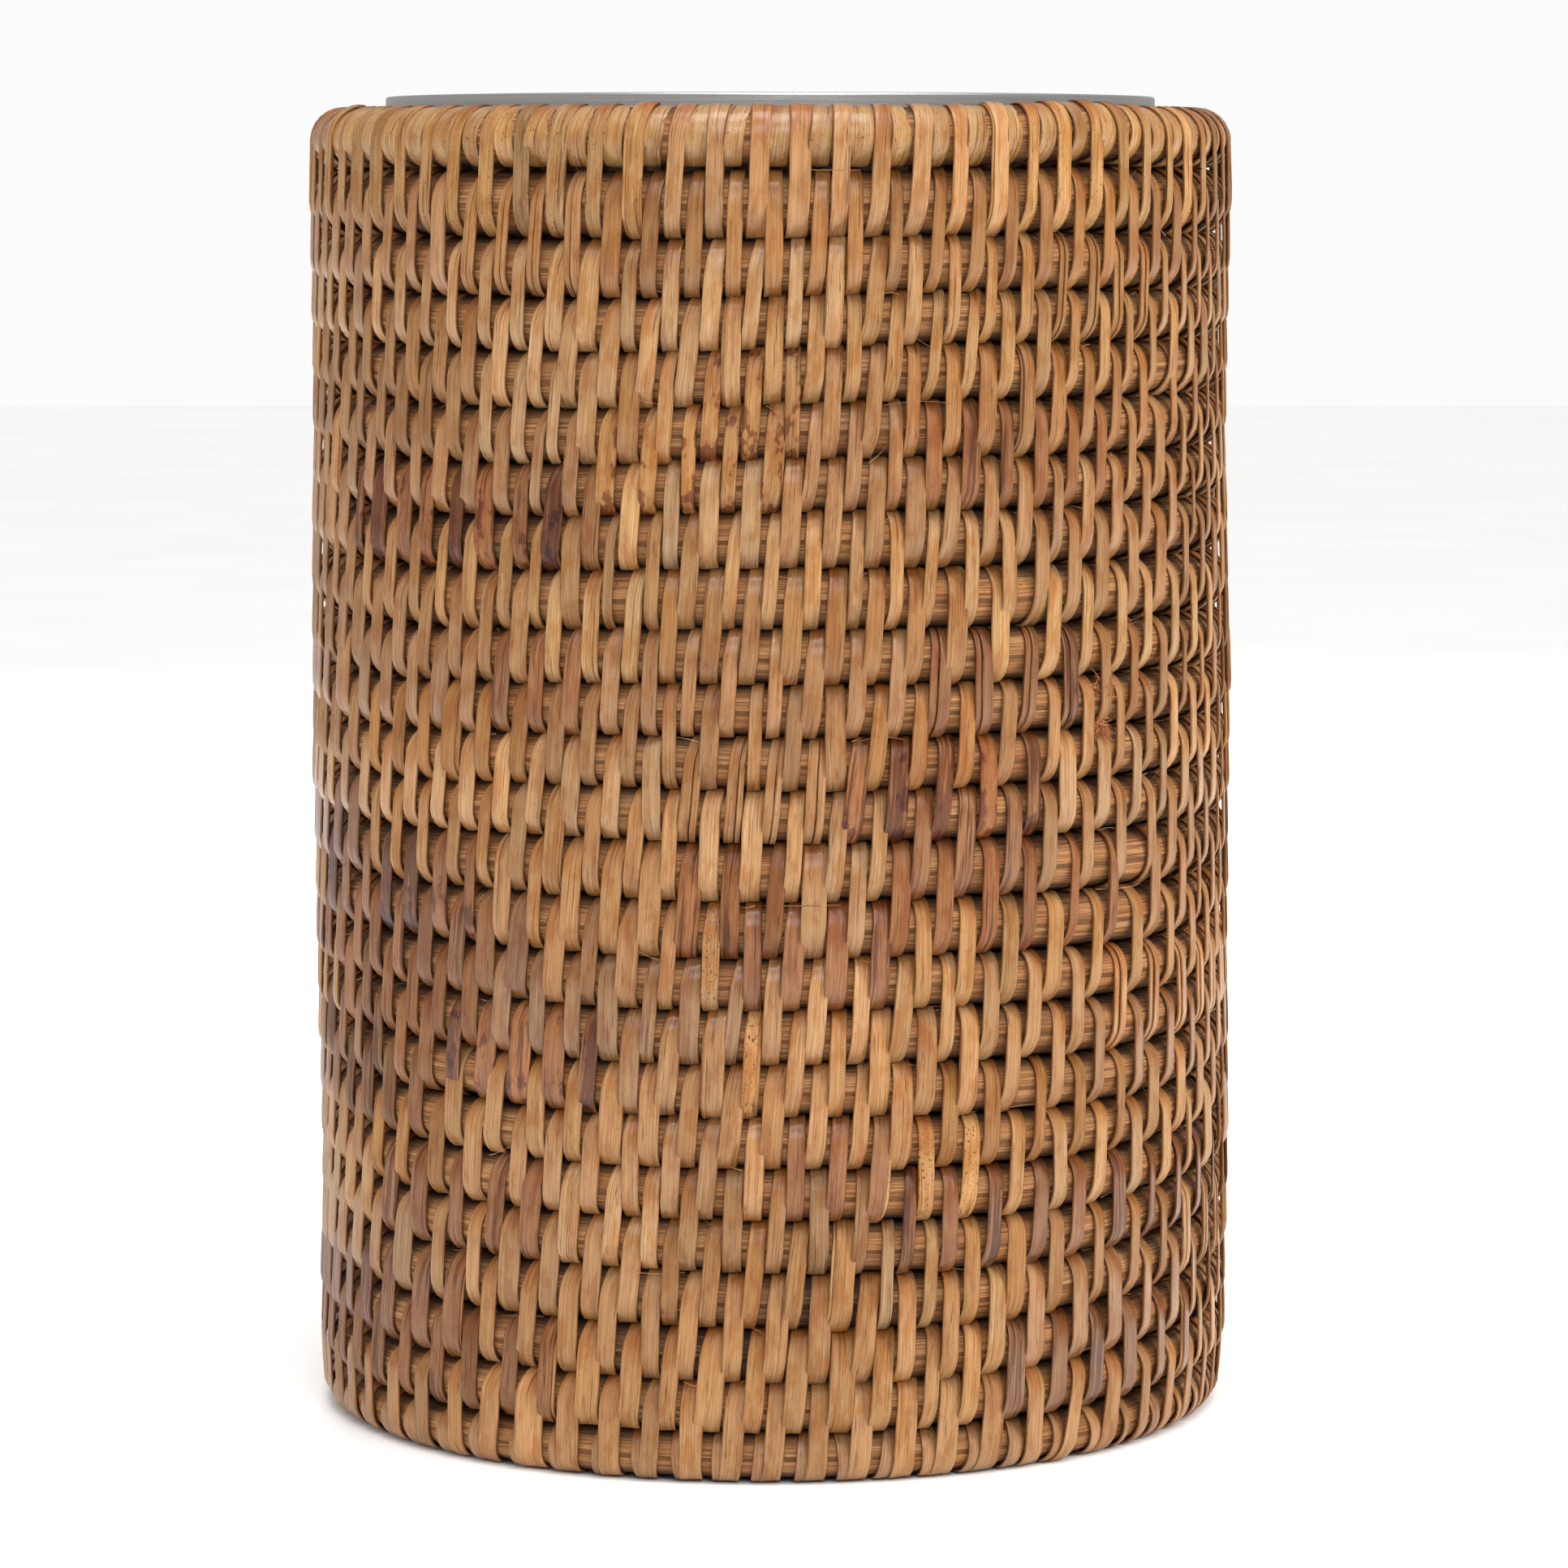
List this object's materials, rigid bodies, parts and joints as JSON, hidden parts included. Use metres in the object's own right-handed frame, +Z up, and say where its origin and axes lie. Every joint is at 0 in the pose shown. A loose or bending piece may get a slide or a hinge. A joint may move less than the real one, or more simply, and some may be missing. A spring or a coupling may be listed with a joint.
{
  "type": "wastebasket",
  "caption": "Round open-top wastebasket: a coiled-cane basket with wrapped rim and foot, and a thin stainless steel liner that lifts out for emptying.",
  "frame": {"origin": "centre of the foot, on the surface that the basket stands on", "axes": "+Z up along the basket's axis; -Y is the front, though the basket is round"},
  "size_m": [0.215, 0.215, 0.3074],
  "materials": {
    "cane": "natural peeled rattan under clear lacquer, honey brown with straw and dark strips, satin",
    "liner_steel": "stainless sheet brushed round the liner, satin"
  },
  "bodies": {
    "basket": {"rim_hoop": "cane", "wall_hoop_01": "cane", "wall_hoop_02": "cane", "wall_hoop_03": "cane", "wall_hoop_04": "cane", "wall_hoop_05": "cane", "wall_hoop_06": "cane", "wall_hoop_07": "cane", "wall_hoop_08": "cane", "wall_hoop_09": "cane", "wall_hoop_10": "cane", "wall_hoop_11": "cane", "wall_hoop_12": "cane", "wall_hoop_13": "cane", "wall_hoop_14": "cane", "wall_hoop_15": "cane", "wall_hoop_16": "cane", "wall_hoop_17": "cane", "wall_hoop_18": "cane", "wall_hoop_19": "cane", "wall_hoop_20": "cane", "wall_hoop_21": "cane", "wall_hoop_22": "cane", "wall_hoop_23": "cane", "foot_hoop": "cane", "base_hoop_1": "cane", "base_hoop_2": "cane", "base_hoop_3": "cane", "base_hoop_4": "cane", "base_hoop_5": "cane", "base_hoop_6": "cane", "base_hoop_7": "cane", "base_eye": "cane"},
    "liner": {"liner_wall": "liner_steel", "liner_rim_band": "liner_steel", "liner_floor": "liner_steel"}
  },
  "joints": [
    {"name": "liner_lift", "type": "slide", "parent": "basket", "child": "liner", "axis": [0, 0, 1], "range_m": [0, 0.32]}
  ]
}
